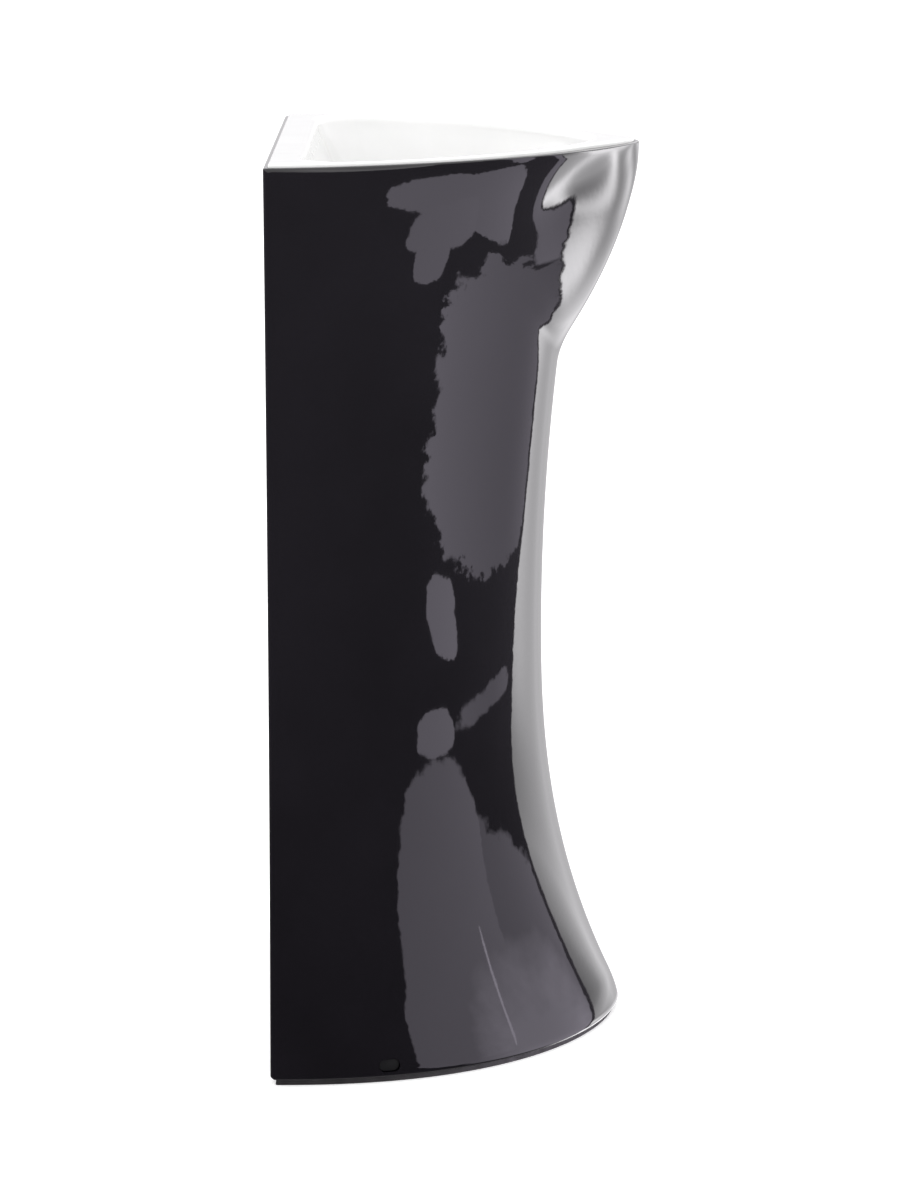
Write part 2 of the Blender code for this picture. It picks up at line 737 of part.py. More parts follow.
def build():
    clear_scene()
    black_glaze = material("black_glaze", (0.012, 0.011, 0.014), 0.06)
    white_glaze = material("white_glaze", (0.86, 0.86, 0.85), 0.05)
    chrome = material("chrome", (0.78, 0.79, 0.80), 0.08, 1.0)
    steel = material("zinc_steel", (0.55, 0.56, 0.57), 0.35, 1.0)
    black_rubber = material("black_rubber", (0.03, 0.03, 0.03), 0.7)
    grey_seal = material("grey_seal", (0.30, 0.30, 0.31), 0.6)
    white_sealant = material("white_sealant", (0.80, 0.80, 0.79), 0.5)
    nylon = material("nylon", (0.70, 0.69, 0.64), 0.5)
    black_cap = material("black_cap", (0.015, 0.015, 0.016), 0.35)

    casing = add_casing(black_glaze)
    add_basin(white_glaze)
    add_rim_sealant(white_sealant)
    add_floor_seal(grey_seal)
    add_waste(chrome, black_rubber)
    add_crosspiece(chrome)
    add_cartridge(nylon)
    add_plug(chrome, black_rubber)
    add_dip_tube(chrome, black_rubber)
    add_trap(chrome, black_rubber)
    add_outlet(chrome, black_rubber, chrome)
    for side, label in ((-1, "left"), (1, "right")):
        add_side_fixing(casing, side, label, steel, black_cap, nylon)


build()
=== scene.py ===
"""Looks of the pedestal sink: the glazed shells at full smoothness, the fittings' finishes, light and camera.

Metres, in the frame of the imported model: +Z up, the wall side +Y, the pointed front -Y.
"""

import json
import math

import bmesh
import bpy
from mathutils import Matrix, Vector


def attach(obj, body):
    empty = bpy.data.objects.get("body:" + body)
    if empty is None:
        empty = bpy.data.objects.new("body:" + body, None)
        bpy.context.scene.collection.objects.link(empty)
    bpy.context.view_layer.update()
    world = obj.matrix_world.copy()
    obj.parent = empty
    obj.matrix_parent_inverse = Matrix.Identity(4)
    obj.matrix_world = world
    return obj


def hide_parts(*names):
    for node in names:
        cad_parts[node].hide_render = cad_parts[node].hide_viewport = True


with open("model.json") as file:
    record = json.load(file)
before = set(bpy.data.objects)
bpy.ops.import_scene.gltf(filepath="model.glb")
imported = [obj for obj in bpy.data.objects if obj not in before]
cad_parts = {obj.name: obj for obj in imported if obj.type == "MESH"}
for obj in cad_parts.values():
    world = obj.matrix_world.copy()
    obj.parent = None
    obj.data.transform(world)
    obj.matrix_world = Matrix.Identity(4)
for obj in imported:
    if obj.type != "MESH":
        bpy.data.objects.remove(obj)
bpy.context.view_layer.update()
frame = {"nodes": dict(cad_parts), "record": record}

MM = 0.001

# ---------------------------------------------------------------- the ceramic's shape, as in the CAD

HEIGHT = 850 * MM
DEPTH = 345 * MM
RIM_HALF = 265 * MM
WAIST_HALF = 244 * MM
FOOT_HALF = 272 * MM
BACK_Y = DEPTH / 2

WAIST_Z = 385 * MM
WAIST_DEPTH = 254.4 * MM
FOOT_DEPTH = 331 * MM
FOOT_SWEEP = 85 * MM
FOOT_POWER = 2.45
TOE_BLEND = 12 * MM
SHOULDER_SWEEP = 49 * MM
SIDE_WAIST_Z = 420 * MM

FOOT_P, FOOT_Q = 1.75, 0.44
SHOULDER_P, SHOULDER_Q = 1.85, 0.61
RIM_P, RIM_Q = 1.587, 0.658

PROW_DROP = 48 * MM
PROW_REACH = 155 * MM
PROW_POWER = 1.8
PROW_Z = 700 * MM
PROW_SLOPE = 0.75
PROW_STEEPER = 2.4
PROW_NOSE = 26 * MM
PROW_BLEND = 10 * MM
FLARE_Z = 780 * MM
FLARE_POWER = 2.4

WALL = 12 * MM
LIP = 4 * MM
EDGE = 1.6 * MM
EDGE_TURNS = (25, 50, 75, 90)
TOE_ROUND = 3 * MM
CORNER = 6 * MM
GAP = 0.3 * MM
GRIP_DEPTH = 1.2 * MM
SEAL_HEIGHT = 5 * MM
SEAL_INSET = 6 * MM
SEAL_WIDTH = 8 * MM
SOLE_Z = SEAL_HEIGHT + GAP
RIM_RISE = 3 * MM
CASING_TOP = HEIGHT - RIM_RISE
REBATE_Z = CASING_TOP - 10 * MM
SEALANT = 1.2 * MM
RIM_UNDER = REBATE_Z + SEALANT + 2 * GAP

OPENING_HALF = 120 * MM
OPENING_LOW, OPENING_HIGH = 110 * MM, 630 * MM
OPENING_CORNER = 40 * MM

BOWL_HALF = 234 * MM
BOWL_FRONT = 306 * MM
BOWL_BACK = 28 * MM
BOWL_CORNER = 38 * MM
BOWL_EDGE = 8 * MM
BOWL_WALL_LOW = 757 * MM
BOWL_WALL_LEAN = 34 * MM
BOWL_FILLET = 30 * MM
BOWL_SKIN = 9 * MM
SEAT_Z = 725 * MM
SEAT_RADIUS = 36 * MM
DRAIN_RADIUS = 23 * MM
DRAIN_DEPTH = 160 * MM
DRAIN_Y = BACK_Y - DRAIN_DEPTH

FIXING_DEPTH = 110 * MM
FIXING_Z = 16 * MM
FIXING_TURN = math.radians(15.4)
SLOT_LONG, SLOT_HIGH, SLOT_DEEP = 20 * MM, 12 * MM, 7 * MM
SCREW_HOLE = 3.6 * MM

# Waste, plug, trap and outlet
THREAD = 20.9 * MM
FLANGE_Z = SEAT_Z + 1.8 * MM
WASTE_END = SEAT_Z - 72 * MM
STEM = 4 * MM
PLUG_Z = FLANGE_Z + 3.5 * MM
PIPE = 16 * MM
PIPE_BORE = 14.8 * MM
BOTTLE = 31 * MM
BOTTLE_LOW, BOTTLE_TOP = 508 * MM, 588 * MM
CUP_LOW = 448 * MM
TUBE_END = 480 * MM
OUTLET_Z = 552 * MM
STUB_END = 53 * MM

# How finely the shells are divided
FRONT_STEPS = 64
CORNER_STEPS = 6
BACK_STEPS = 6

# How the turned fittings are divided, how far their corners are eased, and where shading breaks
TURN_STEPS = 96
CORNER_EASE = 0.6 * MM
SHARP_ANGLE = math.radians(40)


def mix(a, b, t):
    return a + (b - a) * t


def smooth_max(a, b, reach):
    """The larger of a and b, with the corner between them rounded over reach."""
    near = max(reach - abs(a - b), 0.0) / reach
    return max(a, b) + near * near * reach / 4


def half_width(z):
    if z < SIDE_WAIST_Z:
        rise = (SIDE_WAIST_Z - z) / SIDE_WAIST_Z
        return WAIST_HALF + (FOOT_HALF - WAIST_HALF) * rise**2
    rise = (z - SIDE_WAIST_Z) / (HEIGHT - SIDE_WAIST_Z)
    return WAIST_HALF + (RIM_HALF - WAIST_HALF) * rise**2


def trunk_depth(z):
    """How far the trunk's front stands off the wall plane, without the prow."""
    if z < WAIST_Z:
        flare = WAIST_DEPTH + FOOT_SWEEP * ((WAIST_Z - z) / WAIST_Z) ** FOOT_POWER
        return -smooth_max(-flare, -FOOT_DEPTH - TOE_BLEND / 4, TOE_BLEND)
    return WAIST_DEPTH + SHOULDER_SWEEP * ((z - WAIST_Z) / (HEIGHT - WAIST_Z)) ** 2


def rim_shape(share):
    """The rim's plan: depth as a share of the tip's, where x is that share of the half-width."""
    return max(1 - share**RIM_P, 0.0) ** RIM_Q


def skin_depth(share, z):
    """Depth of the casing's skin where x is that share of the half-width."""
    up = z / HEIGHT
    p, q = mix(FOOT_P, SHOULDER_P, up), mix(FOOT_Q, SHOULDER_Q, up)
    trunk = trunk_depth(z) * max(1 - share**p, 0.0) ** q
    arch = DEPTH * rim_shape(share)
    drop = PROW_DROP * ((HEIGHT - z) / PROW_REACH) ** PROW_POWER
    slope = PROW_SLOPE + PROW_STEEPER * (z - PROW_Z)
    keel = DEPTH + PROW_NOSE - math.hypot(slope * share * half_width(z), PROW_NOSE)
    prow = min(keel, arch) - drop
    body = smooth_max(trunk, prow, max(PROW_BLEND * (1 - share), 0.1 * MM))
    flare = max(z - FLARE_Z, 0.0) / (HEIGHT - FLARE_Z)
    return mix(body, arch, flare**FLARE_POWER)


def plan_ring(half, front, back, corner, shape, z):
    """A closed plan outline at height z, from the front tip round by +X and home by -X."""
    side = []
    for i in range(FRONT_STEPS + 1):
        share = math.sin(math.pi / 2 * i / FRONT_STEPS) ** 1.2
        side.append((half * share, back + corner + (front - back - corner) * shape(share)))
    for i in range(1, CORNER_STEPS + 1):
        turn = math.pi / 2 * i / CORNER_STEPS
        side.append((half - corner * (1 - math.cos(turn)), back + corner * (1 - math.sin(turn))))
    for i in range(1, BACK_STEPS + 1):
        side.append(((half - corner) * (1 - i / BACK_STEPS), back))
    mirrored = [(-x, depth) for x, depth in side[-2:0:-1]]
    return [Vector((x, BACK_Y - depth, z)) for x, depth in side + mirrored]


def casing_ring(z, inset=0.0, at=None):
    """The casing's plan at height z, drawn in by inset. It is drawn at height at, if given."""
    front = skin_depth(0, z)
    return plan_ring(
        half_width(z) - inset,
        front - inset,
        inset,
        max(CORNER - inset, 2 * MM),
        lambda share: skin_depth(share, z) / front,
        z if at is None else at,
    )


def lip_ring(inset, z):
    """A plan that stays inset from the skin over the whole height of the rebate."""
    front = skin_depth(0, REBATE_Z)
    return plan_ring(
        half_width(REBATE_Z) - inset,
        front - inset,
        inset,
        2 * MM,
        lambda share: min(skin_depth(share, CASING_TOP), skin_depth(share, REBATE_Z)) / front,
        z,
    )


def bowl_ring(inset, z):
    """The bowl's plan, drawn in by inset from its mouth."""
    return plan_ring(
        BOWL_HALF - inset,
        BOWL_FRONT - inset,
        BOWL_BACK + inset,
        max(BOWL_CORNER - inset / 3, 10 * MM),
        rim_shape,
        z,
    )


def drain_ring(outline, radius, z):
    """A circle round the drain with one point towards each point of outline."""
    centre = Vector((0, DRAIN_Y, 0))
    ring = []
    for point in outline:
        away = Vector((point.x, point.y, 0)) - centre
        ring.append(centre + away.normalized() * radius + Vector((0, 0, z)))
    return ring


def mixed_ring(a, b, t, z):
    return [Vector((*p.lerp(q, t).xy, z)) for p, q in zip(a, b)]


def levels(low, high, steps):
    return [mix(low, high, i / steps) for i in range(steps)]


def edge_steps():
    """How far in and how far up each step of a rounded top edge is."""
    for turn in EDGE_TURNS:
        angle = math.radians(turn)
        yield EDGE * (1 - math.cos(angle)), EDGE * math.sin(angle)


# ---------------------------------------------------------------- mesh helpers


def to_piece(bm, name, finish, body="sink"):
    """Closes off a bmesh as a named piece with outward faces, riding on a body."""
    bmesh.ops.recalc_face_normals(bm, faces=bm.faces)
    if bm.calc_volume(signed=True) < 0:
        bmesh.ops.reverse_faces(bm, faces=bm.faces)
    mesh = bpy.data.meshes.new(name)
    bm.to_mesh(mesh)
    bm.free()
    mesh.shade_smooth()
    mesh.set_sharp_from_angle(angle=SHARP_ANGLE)
    mesh.materials.append(finish)
    piece = bpy.data.objects.new(name, mesh)
    bpy.context.scene.collection.objects.link(piece)
    if body:
        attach(piece, body)
    return piece


def loft(rings):
    """A closed skin through rings of equal length, the last ring joined to the first."""
    bm = bmesh.new()
    loops = [[bm.verts.new(point) for point in ring] for ring in rings]
    count = len(rings[0])
    for low, high in zip(loops, loops[1:] + loops[:1]):
        for i in range(count):
            j = (i + 1) % count
            bm.faces.new((low[i], low[j], high[j], high[i]))
    return bm


def prism(outline, low, high, matrix):
    """A plan outline pulled up from low to high."""
    bm = bmesh.new()
    base = bm.faces.new([bm.verts.new((x, y, low)) for x, y in outline])
    pulled = bmesh.ops.extrude_face_region(bm, geom=[base])["geom"]
    verts = [v for v in pulled if isinstance(v, bmesh.types.BMVert)]
    bmesh.ops.translate(bm, verts=verts, vec=(0, 0, high - low))
    bm.transform(matrix)
    return bm


def rounded_box(width, height, corner, steps=10):
    outline = []
    for i, (sx, sy) in enumerate([(1, 1), (-1, 1), (-1, -1), (1, -1)]):
        cx, cy = sx * (width / 2 - corner), sy * (height / 2 - corner)
        for k in range(steps + 1):
            angle = math.pi / 2 * (i + k / steps)
            outline.append((cx + corner * math.cos(angle), cy + corner * math.sin(angle)))
    return outline


def combine(piece, bm, name, operation="DIFFERENCE"):
    """Cuts bm out of piece, or joins it on, and leaves no modifier or helper behind."""
    tool = to_piece(bm, name, piece.data.materials[0], None)
    modifier = piece.modifiers.new(name, "BOOLEAN")
    modifier.object = tool
    modifier.operation = operation
    modifier.solver = "EXACT"
    shaped = bpy.data.meshes.new_from_object(
        piece.evaluated_get(bpy.context.evaluated_depsgraph_get())
    )
    piece.modifiers.clear()
    piece.data = shaped
    bpy.data.objects.remove(tool)
    shaped.set_sharp_from_angle(angle=SHARP_ANGLE)


def eased(profile, reach):
    """The (radius, z) profile with each sharp corner off the axis rounded over reach."""
    points = [Vector(point) for point in profile]
    rounded = []
    for i, corner in enumerate(points):
        if corner.x == 0:
            rounded.append(corner)
            continue
        before, after = points[i - 1] - corner, points[(i + 1) % len(points)] - corner
        run = min(reach, 0.4 * before.length, 0.4 * after.length)
        start, end = corner + before.normalized() * run, corner + after.normalized() * run
        for k in range(4):
            t = k / 3
            rounded.append(start * (1 - t) ** 2 + corner * 2 * t * (1 - t) + end * t**2)
    return rounded


def turned(profile, matrix, grips=0, grip_from=1.0):
    """A solid of revolution with eased corners. Grips are finger flutes on what lies beyond grip_from."""
    points = eased(profile, CORNER_EASE)
    bm = bmesh.new()
    axis = {i: bm.verts.new((0, 0, z)) for i, (radius, z) in enumerate(points) if radius == 0}
    columns = []
    for k in range(TURN_STEPS):
        angle = 2 * math.pi * k / TURN_STEPS
        column = []
        for i, (radius, z) in enumerate(points):
            if radius > grip_from:
                radius -= GRIP_DEPTH * (0.5 - 0.5 * math.cos(grips * angle)) ** 2
            spot = (radius * math.cos(angle), radius * math.sin(angle), z)
            column.append(axis[i] if i in axis else bm.verts.new(spot))
        columns.append(column)
    for k, column in enumerate(columns):
        following = columns[(k + 1) % TURN_STEPS]
        for i in range(len(points)):
            j = (i + 1) % len(points)
            corners = list(dict.fromkeys([column[i], column[j], following[j], following[i]]))
            if len(corners) > 2:
                bm.faces.new(corners)
    bm.transform(matrix)
    return bm


# ---------------------------------------------------------------- materials


class Nodes:
    """A new material and short calls that add its nodes."""

    def __init__(self, name):
        self.material = bpy.data.materials.new(name)
        self.material.use_nodes = True
        self.tree = self.material.node_tree
        self.shader = self.tree.nodes["Principled BSDF"]
        self.place = self.add("ShaderNodeTexCoord").outputs["Object"]

    def add(self, kind, **values):
        node = self.tree.nodes.new(kind)
        for key, value in values.items():
            setattr(node, key, value)
        return node

    def link(self, source, target):
        self.tree.links.new(source, target)

    def noise(self, scale, detail=4.0, roughness=0.55, stretch=None):
        node = self.add("ShaderNodeTexNoise")
        node.inputs["Scale"].default_value = scale
        node.inputs["Detail"].default_value = detail
        node.inputs["Roughness"].default_value = roughness
        source = self.place
        if stretch:
            mapping = self.add("ShaderNodeMapping")
            mapping.inputs["Scale"].default_value = stretch
            self.link(source, mapping.inputs["Vector"])
            source = mapping.outputs["Vector"]
        self.link(source, node.inputs["Vector"])
        return node.outputs["Fac"]

    def cells(self, scale):
        node = self.add("ShaderNodeTexVoronoi")
        node.inputs["Scale"].default_value = scale
        self.link(self.place, node.inputs["Vector"])
        return node.outputs

    def spread(self, source, low, high, from_low=0.3, from_high=0.7):
        node = self.add("ShaderNodeMapRange")
        for key, value in zip(("From Min", "From Max", "To Min", "To Max"), (from_low, from_high, low, high)):
            node.inputs[key].default_value = value
        self.link(source, node.inputs["Value"])
        return node.outputs["Result"]

    def colours(self, source, stops):
        node = self.add("ShaderNodeValToRGB")
        ramp = node.color_ramp
        while len(ramp.elements) < len(stops):
            ramp.elements.new(0.5)
        for element, (position, colour) in zip(ramp.elements, stops):
            element.position = position
            element.color = (*colour, 1)
        self.link(source, node.inputs["Fac"])
        return node.outputs["Color"]

    def bump(self, source, distance, strength=1.0, normal=None):
        node = self.add("ShaderNodeBump")
        node.inputs["Strength"].default_value = strength
        node.inputs["Distance"].default_value = distance
        self.link(source, node.inputs["Height"])
        if normal:
            self.link(normal, node.inputs["Normal"])
        return node.outputs["Normal"]

    def finish(self, colour, roughness, normal, metallic=0.0, **sockets):
        self.link(colour, self.shader.inputs["Base Color"])
        self.link(roughness, self.shader.inputs["Roughness"])
        self.link(normal, self.shader.inputs["Normal"])
        self.shader.inputs["Metallic"].default_value = metallic
        for key, value in sockets.items():
            self.shader.inputs[key.replace("_", " ")].default_value = value
        return self.material


def black_glaze():
    """Deep gloss glaze: almost no colour, a slight pull where it ran before firing, a few pinholes."""
    n = Nodes("black_glaze")
    colour = n.colours(
        n.noise(9, 3), [(0.3, (0.0026, 0.0022, 0.0031)), (0.7, (0.0042, 0.0036, 0.0050))]
    )
    roughness = n.spread(n.noise(26, 5), 0.025, 0.06)
    flow = n.bump(n.noise(11, 2, 0.45, (1.0, 1.0, 0.55)), 0.9 * MM, 0.35)
    peel = n.bump(n.noise(180, 2, 0.5), 0.05 * MM, 0.35, flow)
    pinhole = n.spread(n.cells(42)["Distance"], 0.0, 1.0, 0.02, 0.035)
    normal = n.bump(pinhole, 0.05 * MM, 0.4, peel)
    return n.finish(colour, roughness, normal)


def white_glaze():
    """Sanitary white glaze with a barely cloudy depth and soft running waves."""
    n = Nodes("white_glaze")
    colour = n.colours(n.noise(14, 4), [(0.3, (0.79, 0.79, 0.785)), (0.7, (0.83, 0.83, 0.825))])
    roughness = n.spread(n.noise(30, 5), 0.03, 0.07)
    flow = n.bump(n.noise(16, 2, 0.45), 0.3 * MM, 0.3)
    normal = n.bump(n.noise(220, 2, 0.5), 0.03 * MM, 0.3, flow)
    return n.finish(colour, roughness, normal)


def chrome():
    """Bright chrome plate with faint polishing streaks and dried water spots."""
    n = Nodes("chrome")
    spots = n.spread(n.cells(260)["Distance"], 1.0, 0.0, 0.05, 0.16)
    clouds = n.noise(45, 5)
    colour = n.colours(clouds, [(0.3, (0.74, 0.75, 0.76)), (0.7, (0.82, 0.825, 0.83))])
    mixed = n.add("ShaderNodeMath", operation="MULTIPLY_ADD")
    n.link(spots, mixed.inputs[0])
    mixed.inputs[1].default_value = 0.07
    n.link(n.spread(clouds, 0.05, 0.12), mixed.inputs[2])
    streaks = n.bump(n.noise(500, 3, 0.6, (1.0, 1.0, 0.08)), 0.02 * MM, 0.3)
    return n.finish(colour, mixed.outputs[0], streaks, 1.0)


def rubber(name, dark, light, grain):
    """Matt moulded rubber or sealant with a fine grain."""
    n = Nodes(name)
    colour = n.colours(n.noise(60, 5), [(0.3, dark), (0.7, light)])
    roughness = n.spread(n.noise(120, 4), 0.55, 0.8)
    return n.finish(colour, roughness, n.bump(n.noise(grain, 4, 0.6), 0.12 * MM, 0.5))


def nylon():
    """Natural moulded nylon: warm off-white, slightly waxy, with weak flow lines."""
    n = Nodes("nylon")
    colour = n.colours(n.noise(55, 3), [(0.3, (0.66, 0.64, 0.57)), (0.7, (0.73, 0.72, 0.66))])
    roughness = n.spread(n.noise(150, 4), 0.35, 0.55)
    lines = n.bump(n.noise(240, 3, 0.5, (1.0, 1.0, 0.2)), 0.06 * MM, 0.4)
    return n.finish(colour, roughness, lines, 0.0, Subsurface_Weight=0.15)


def zinc_steel():
    """Zinc-plated pressed steel: grey spangle, brushed grain, duller patches."""
    n = Nodes("zinc_steel")
    cells = n.cells(130)
    colour = n.colours(cells["Color"], [(0.2, (0.48, 0.49, 0.50)), (0.8, (0.62, 0.63, 0.64))])
    roughness = n.spread(n.noise(90, 5), 0.25, 0.48)
    grain = n.bump(n.noise(700, 3, 0.6, (1.0, 0.12, 1.0)), 0.03 * MM, 0.5)
    return n.finish(colour, roughness, grain, 1.0)


def black_cap():
    """Black moulded plastic with a fine spark texture."""
    n = Nodes("black_cap")
    colour = n.colours(n.noise(80, 3), [(0.3, (0.006, 0.006, 0.0065)), (0.7, (0.010, 0.010, 0.0105))])
    roughness = n.spread(n.noise(300, 4), 0.5, 0.65)
    spark = n.bump(n.noise(900, 3, 0.6), 0.03 * MM, 0.5)
    return n.finish(colour, roughness, spark, 0.0, Specular_IOR_Level=0.25)


FINISHES = {
    "black_glaze": black_glaze(),
    "white_glaze": white_glaze(),
    "white_sealant": rubber("white_sealant", (0.74, 0.74, 0.72), (0.82, 0.82, 0.80), 160),
    "grey_seal": rubber("grey_seal", (0.022, 0.020, 0.022), (0.036, 0.033, 0.036), 240),
    "chrome": chrome(),
    "black_rubber": rubber("black_rubber", (0.018, 0.018, 0.018), (0.035, 0.034, 0.033), 320),
    "nylon": nylon(),
    "zinc_steel": zinc_steel(),
    "black_cap": black_cap(),
}

for part in frame["record"]["subparts"]:
    node = frame["nodes"][part["node"]]
    node.data.materials.clear()
    node.data.materials.append(FINISHES[part["material_slot"]])


def stand_for(piece, node):
    """piece takes the CAD node's place."""
    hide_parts(node)
    return piece


# ---------------------------------------------------------------- casing, basin and floor seal


def casing_heights():
    toe = levels(SOLE_Z + TOE_ROUND, 70 * MM, 14)
    trunk = levels(70 * MM, 600 * MM, 46)
    prow = levels(600 * MM, CASING_TOP - EDGE, 56)
    return [*toe, *trunk, *prow, CASING_TOP - EDGE]


def side_frame(side):
    """Local Z points straight out of the casing's side, local X runs along its skin."""
    low, high = 0.0, 1.0
    for _ in range(40):
        share = (low + high) / 2
        if skin_depth(share, FIXING_Z) > FIXING_DEPTH:
            low = share
        else:
            high = share
    spot = Vector((side * share * half_width(FIXING_Z), BACK_Y - FIXING_DEPTH, FIXING_Z))
    out = Vector((side * math.cos(FIXING_TURN), -math.sin(FIXING_TURN), 0))
    along = Vector((0, 0, 1)).cross(out)
    turn = Matrix((along, Vector((0, 0, 1)), out)).transposed()
    return Matrix.Translation(spot) @ turn.to_4x4()


def add_casing():
    heights = casing_heights()
    rings = [casing_ring(SOLE_Z, TOE_ROUND)]
    rings += [casing_ring(SOLE_Z + TOE_ROUND * t, TOE_ROUND * (1 - math.sqrt(t))) for t in (0.15, 0.5)]
    rings += [casing_ring(z) for z in heights]
    rings += [casing_ring(CASING_TOP, inset, CASING_TOP - EDGE + rise) for inset, rise in edge_steps()]
    rings += [lip_ring(LIP, CASING_TOP), lip_ring(LIP, REBATE_Z), lip_ring(WALL, REBATE_Z)]
    rings += [casing_ring(z, WALL) for z in reversed(heights[2:-1:4])]
    rings.append(casing_ring(SOLE_Z, WALL))
    casing = to_piece(loft(rings), "casing", FINISHES["black_glaze"])
    stand_for(casing, "pedestal_casing")

    middle = (OPENING_LOW + OPENING_HIGH) / 2
    outline = rounded_box(2 * OPENING_HALF, OPENING_HIGH - OPENING_LOW, OPENING_CORNER)
    place = Matrix.Translation((0, BACK_Y, middle)) @ Matrix.Rotation(math.pi / 2, 4, "X")
    combine(casing, prism(outline, -2 * WALL, 1.6 * WALL, place), "service_opening")
    for side, label in ((-1, "left"), (1, "right")):
        at = side_frame(side)
        slot = rounded_box(SLOT_LONG, SLOT_HIGH, SLOT_HIGH / 2 - 0.2 * MM)
        combine(casing, prism(slot, -SLOT_DEEP, 8 * MM, at), "slot_" + label)
        hole = [(SCREW_HOLE * math.cos(a), SCREW_HOLE * math.sin(a)) for a in levels(0, 2 * math.pi, 24)]
        combine(casing, prism(hole, -30 * MM, -1 * MM, at), "hole_" + label)


def add_floor_seal():
    """A soft strip with a lip that presses on the floor."""
    outer, inner = SEAL_INSET, SEAL_INSET + SEAL_WIDTH
    rings = [
        casing_ring(SOLE_Z, outer - 1 * MM, 0),
        casing_ring(SOLE_Z, outer - 1.2 * MM, 0.8 * MM),
        casing_ring(SOLE_Z, outer - 0.4 * MM, 2 * MM),
        casing_ring(SOLE_Z, outer, 3.2 * MM),
        casing_ring(SOLE_Z, outer, SEAL_HEIGHT),
        casing_ring(SOLE_Z, inner, SEAL_HEIGHT),
        casing_ring(SOLE_Z, inner, 0),
    ]
    seal = to_piece(loft(rings), "floor_seal_strip", FINISHES["grey_seal"])
    stand_for(seal, "floor_seal")


def bowl_surface(skin):
    """Rings down the bowl's wall and over its floor to the seat. A skin above 0 gives the underside."""
    fillet = BOWL_FILLET + skin
    foot = BOWL_EDGE + BOWL_WALL_LEAN
    wall_steps, fillet_steps, floor_steps = 8, 12, 12
    rings = []
    for i in range(0 if skin == 0 else 2, wall_steps + 1):
        t = i / wall_steps
        rings.append(bowl_ring(mix(BOWL_EDGE, foot, t) - skin, mix(HEIGHT - BOWL_EDGE, BOWL_WALL_LOW, t)))
    for i in range(1, fillet_steps):
        turn = math.pi / 2 * i / fillet_steps
        inset = foot - skin + fillet * (1 - math.cos(turn))
        rings.append(bowl_ring(inset, BOWL_WALL_LOW - fillet * math.sin(turn) * 0.94))
    edge = rings[-1]
    seat = drain_ring(edge, SEAT_RADIUS + skin / 2, SEAT_Z - skin)
    for i in range(1, floor_steps):
        t = i / floor_steps
        sink = mix(edge[0].z, SEAT_Z - skin, 1 - (1 - t) ** 2)
        rings.append(mixed_ring(edge, seat, t, sink))
    return [*rings, seat]


def add_basin():
    outer = LIP + GAP
    rings = [lip_ring(outer, RIM_UNDER), lip_ring(outer, HEIGHT - EDGE)]
    rings += [lip_ring(outer + inset, HEIGHT - EDGE + rise) for inset, rise in edge_steps()]
    rings.append(bowl_ring(0, HEIGHT))
    for i in range(1, 7):
        turn = math.pi / 2 * i / 7
        rings.append(bowl_ring(BOWL_EDGE * math.sin(turn), HEIGHT - BOWL_EDGE * (1 - math.cos(turn))))
    rings += bowl_surface(0)
    rings.append(drain_ring(rings[-1], DRAIN_RADIUS, SEAT_Z))
    rings.append(drain_ring(rings[-1], DRAIN_RADIUS, SEAT_Z - BOWL_SKIN))
    rings += reversed(bowl_surface(BOWL_SKIN))
    rings.append(bowl_ring(BOWL_EDGE - BOWL_SKIN, RIM_UNDER))
    basin = to_piece(loft(rings), "basin_shell", FINISHES["white_glaze"])
    stand_for(basin, "basin")


# ---------------------------------------------------------------- waste, plug, trap and outlet


def collar_nut(thread, pipe, low, web, high):
    """A collar nut's profile: open at one end over a thread, closed in to a pipe at the other."""
    outer = thread + 6 * MM
    return [
        (pipe, low),
        (outer - 2 * MM, low),
        (outer, low + math.copysign(2 * MM, high - low)),
        (outer, high),
        (thread, high),
        (thread, web),
        (pipe, web),
    ]


def threaded(radius, low, high, pitch, depth):
    """The outline of a thread's crests and roots from low up to high."""
    points = []
    count = int((high - low) / pitch)
    for i in range(count):
        start = low + (high - low) * i / count
        points += [(radius - depth, start), (radius, start + 0.5 * pitch)]
    return [*points, (radius - depth, high)]


def chrome_piece(name, node, profile, matrix, body="sink", grips=0, grip_from=1.0):
    piece = to_piece(turned(profile, matrix, grips, grip_from), name, FINISHES["chrome"], body)
    return stand_for(piece, node)


def add_waste(drain):
    tube = THREAD - 2.4 * MM
    nut_top = SEAT_Z - BOWL_SKIN - 2 * GAP - 6 * MM
    profile = [
        (tube, WASTE_END),
        *threaded(THREAD, WASTE_END, nut_top, 1.8 * MM, 0.7 * MM),
        (THREAD, nut_top + 2 * MM),
        (THREAD, FLANGE_Z),
        (32 * MM, FLANGE_Z),
        (32 * MM, FLANGE_Z + 1.2 * MM),
        (30.5 * MM, FLANGE_Z + 2.5 * MM),
        (26 * MM, FLANGE_Z + 2.5 * MM),
        (22.5 * MM, FLANGE_Z + 1.9 * MM),
        (19.5 * MM, FLANGE_Z + 0.8 * MM),
        (tube, FLANGE_Z - 1 * MM),
    ]
    chrome_piece("waste_tube", "waste_body", profile, drain)
    low = PLUG_Z
    cap = [
        (0, low - 42 * MM),
        (STEM, low - 42 * MM),
        (STEM, low - 3.4 * MM),
        (11 * MM, low - 3.4 * MM),
        (11 * MM, low),
        (29 * MM, low),
        (30 * MM, low + 1 * MM),
        (28.5 * MM, low + 2.6 * MM),
        (24.5 * MM, low + 3.4 * MM),
        (20 * MM, low + 4.0 * MM),
        (15 * MM, low + 4.5 * MM),
        (10 * MM, low + 4.8 * MM),
        (5 * MM, low + 4.95 * MM),
        (0, low + 5.0 * MM),
    ]
    chrome_piece("push_plug", "plug_cap", cap, drain, "plug")


